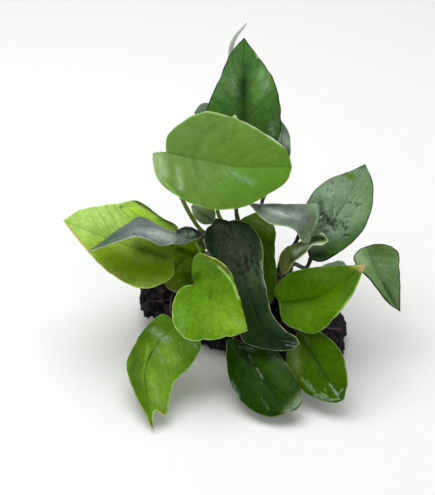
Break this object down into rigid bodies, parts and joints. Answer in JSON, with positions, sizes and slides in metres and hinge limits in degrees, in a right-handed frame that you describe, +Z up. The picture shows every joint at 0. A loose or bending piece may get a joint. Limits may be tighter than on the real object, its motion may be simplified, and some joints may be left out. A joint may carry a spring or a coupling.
{
  "type": "anubias on stone",
  "caption": "Young broad-leaved anubias plant with a creeping rhizome and wiry roots grown onto a flat-bottomed piece of black lava stone.",
  "frame": {"origin": "middle of the stone's flat underside", "axes": "+Z up, -Y towards the front, where the lower leaves hang, +X to the right seen from the front"},
  "size_m": [0.145, 0.1382, 0.1215],
  "materials": {
    "stone": "black porous lava, matte",
    "rhizome": "green-brown living stem, satin",
    "root": "wiry brown root, matte",
    "stalk": "smooth green to black leaf stalk, satin",
    "dark_leaf": "dark green leaf skin, glossy",
    "green_leaf": "mid green leaf skin, glossy",
    "bright_leaf": "bright yellow-green leaf skin, glossy",
    "olive_leaf": "olive green leaf skin, satin",
    "grey_leaf": "grey-green leaf skin with a pale sheen",
    "black_leaf": "very dark green leaf skin, glossy"
  },
  "bodies": {
    "root": {"stone": "stone", "rhizome": "rhizome", "root_1": "root", "root_2": "root", "root_3": "root", "root_4": "root", "root_5": "root", "root_6": "root", "root_7": "root", "top_leaf": "dark_leaf", "top_leaf_stalk": "stalk", "round_leaf": "green_leaf", "round_leaf_stalk": "stalk", "left_leaf": "bright_leaf", "left_leaf_stalk": "stalk", "wavy_leaf": "grey_leaf", "wavy_leaf_stalk": "stalk", "olive_leaf": "olive_leaf", "olive_leaf_stalk": "stalk", "heart_leaf": "bright_leaf", "heart_leaf_stalk": "stalk", "centre_leaf": "black_leaf", "centre_leaf_stalk": "stalk", "middle_leaf": "green_leaf", "middle_leaf_stalk": "stalk", "grey_leaf": "grey_leaf", "grey_leaf_stalk": "stalk", "curled_leaf": "grey_leaf", "curled_leaf_stalk": "stalk", "right_leaf": "grey_leaf", "right_leaf_stalk": "stalk", "far_right_leaf": "grey_leaf", "far_right_leaf_stalk": "stalk", "small_leaf": "grey_leaf", "small_leaf_stalk": "stalk", "green_leaf": "bright_leaf", "green_leaf_stalk": "stalk", "lower_right_leaf": "green_leaf", "lower_right_leaf_stalk": "stalk", "lower_leaf": "dark_leaf", "lower_leaf_stalk": "stalk", "torn_leaf": "green_leaf", "torn_leaf_stalk": "stalk", "young_leaf": "grey_leaf", "young_leaf_stalk": "stalk", "back_left_leaf": "grey_leaf", "back_left_leaf_stalk": "stalk", "back_right_leaf": "grey_leaf", "back_right_leaf_stalk": "stalk", "wisp_leaf": "grey_leaf", "wisp_leaf_stalk": "stalk"}
  },
  "joints": []
}
